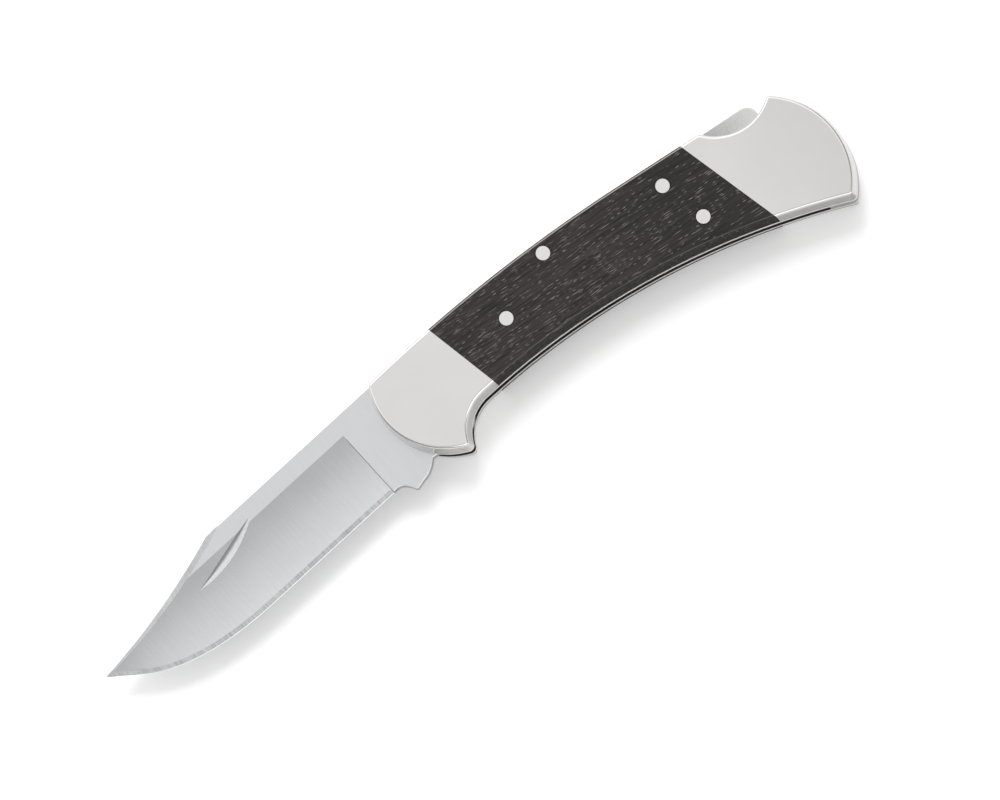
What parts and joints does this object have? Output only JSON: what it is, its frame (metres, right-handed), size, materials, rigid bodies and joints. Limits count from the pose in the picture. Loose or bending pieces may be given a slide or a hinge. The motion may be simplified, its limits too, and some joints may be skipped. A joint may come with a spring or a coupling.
{
  "type": "folding pocket knife",
  "caption": "Folding pocket knife with a clip-point blade, metal bolsters, dark wood scales and a lock bar in the back that is released at the butt.",
  "frame": {"origin": "on the blade pivot's axis, in the outer face of the right bolsters that the knife lies on", "axes": "+X from the pivot to the butt, -X to the tip of the open blade, +Y to the back of the knife, +Z from the right side up to the left side"},
  "size_m": [0.184, 0.0392, 0.0153],
  "materials": {
    "blade_steel": "satin",
    "lock_steel": "satin",
    "spring_steel": "satin",
    "polished_nickel_silver": "polished",
    "liner_nickel_silver": "satin",
    "dark_wood": "satin",
    "pin_nickel_silver": "polished"
  },
  "bodies": {
    "handle": {"left_front_bolster": "polished_nickel_silver", "left_rear_bolster": "polished_nickel_silver", "right_front_bolster": "polished_nickel_silver", "right_rear_bolster": "polished_nickel_silver", "left_scale": "dark_wood", "right_scale": "dark_wood", "left_liner": "liner_nickel_silver", "right_liner": "liner_nickel_silver", "left_front_rivet": "pin_nickel_silver", "left_rear_upper_rivet": "pin_nickel_silver", "left_rear_lower_rivet": "pin_nickel_silver", "right_front_rivet": "pin_nickel_silver", "right_rear_upper_rivet": "pin_nickel_silver", "right_rear_lower_rivet": "pin_nickel_silver", "blade_pivot_pin": "polished_nickel_silver", "lock_bar_pin": "pin_nickel_silver", "upper_holder_pin": "polished_nickel_silver", "lower_holder_pin": "polished_nickel_silver", "spring_holder": "lock_steel", "lock_spring": "spring_steel"},
    "blade": {"blade": "blade_steel"},
    "lock_bar": {"lock_bar": "lock_steel"}
  },
  "joints": [
    {"name": "blade_fold", "type": "hinge", "parent": "handle", "child": "blade", "pos_m": [0, 0, 0.00765], "axis": [0, 0, 1], "range_deg": [0, 180]},
    {"name": "lock_press", "type": "hinge", "parent": "handle", "child": "lock_bar", "pos_m": [0.0374, 0.0092, 0.00765], "axis": [0, 0, -1], "range_deg": [-1.6, 0], "stiffness_Nm_per_rad": 2, "springref_deg": -3.44}
  ]
}
